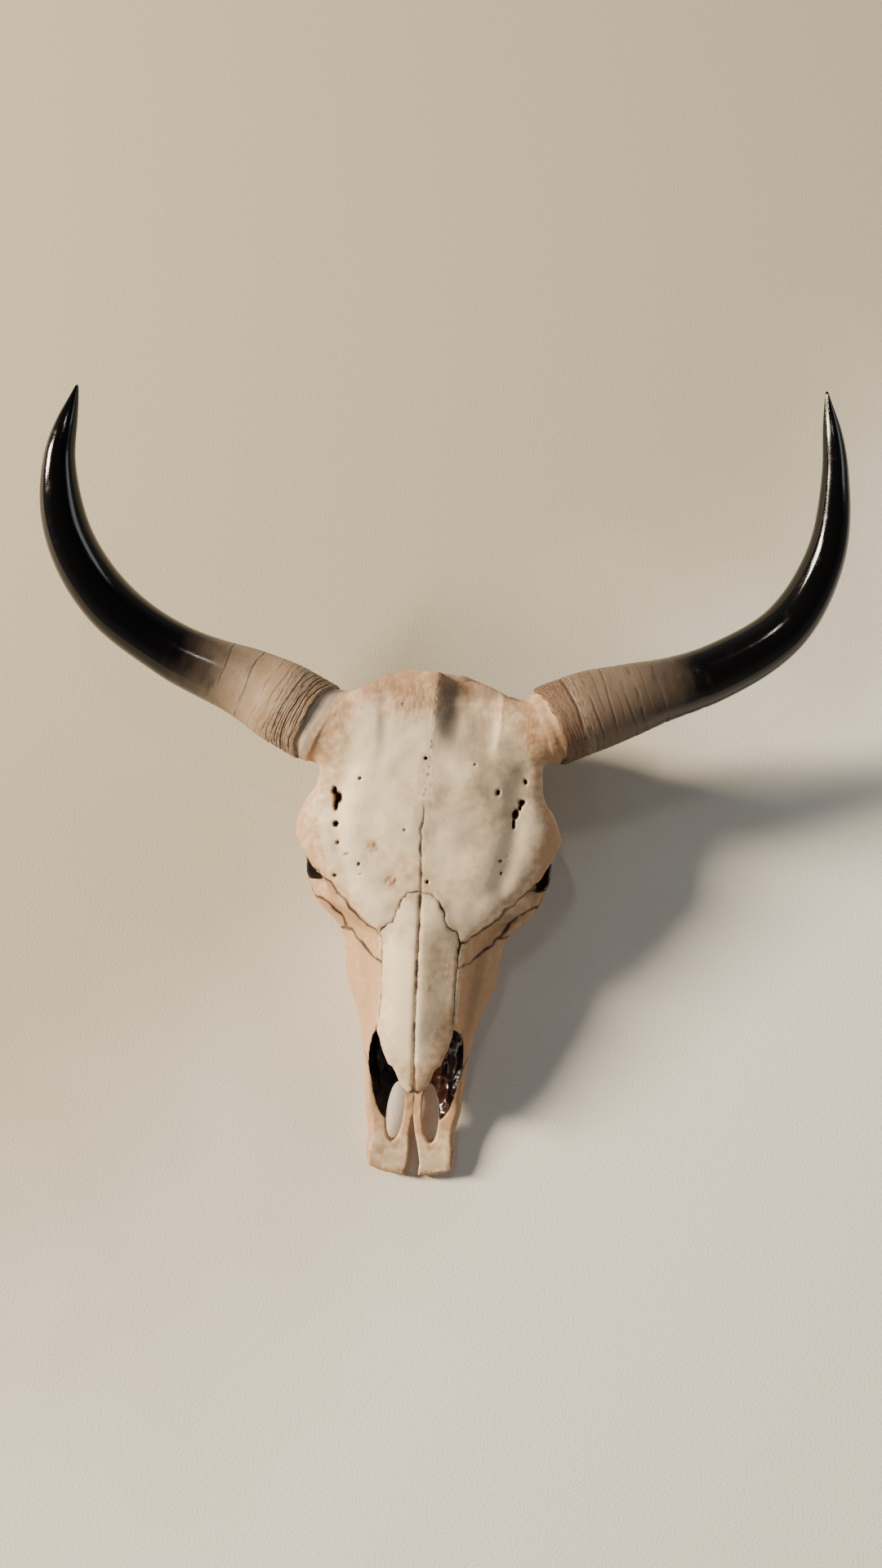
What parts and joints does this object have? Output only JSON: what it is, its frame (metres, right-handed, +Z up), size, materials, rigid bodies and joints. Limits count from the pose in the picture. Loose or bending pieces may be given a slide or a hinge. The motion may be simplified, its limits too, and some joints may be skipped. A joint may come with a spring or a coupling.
{
  "type": "longhorn steer skull",
  "caption": "Life-size horned cattle skull without its lower jaw, lying on its cheek teeth as on a museum shelf.",
  "frame": {"origin": "centre of the bottom of the bounding box, on the surface the skull lies on", "axes": "+X to the animal's left, +Y towards the back of the head, +Z up"},
  "size_m": [0.7604, 0.7248, 0.3031],
  "materials": {
    "bone": "dry cream bone, tan at the edges, matt with fine pores",
    "horn": "polished black horn, tan and ridged at the root"
  },
  "bodies": {
    "root": {"frontal_left": "bone", "frontal_right": "bone", "nasal_left": "bone", "nasal_right": "bone", "lacrimal_left": "bone", "lacrimal_right": "bone", "zygomatic_left": "bone", "zygomatic_right": "bone", "maxilla_left": "bone", "maxilla_right": "bone", "incisive_left": "bone", "incisive_right": "bone", "temporal_left": "bone", "temporal_right": "bone", "occipital": "bone", "skull_base": "bone", "horn_left": "horn", "horn_right": "horn"}
  },
  "joints": []
}
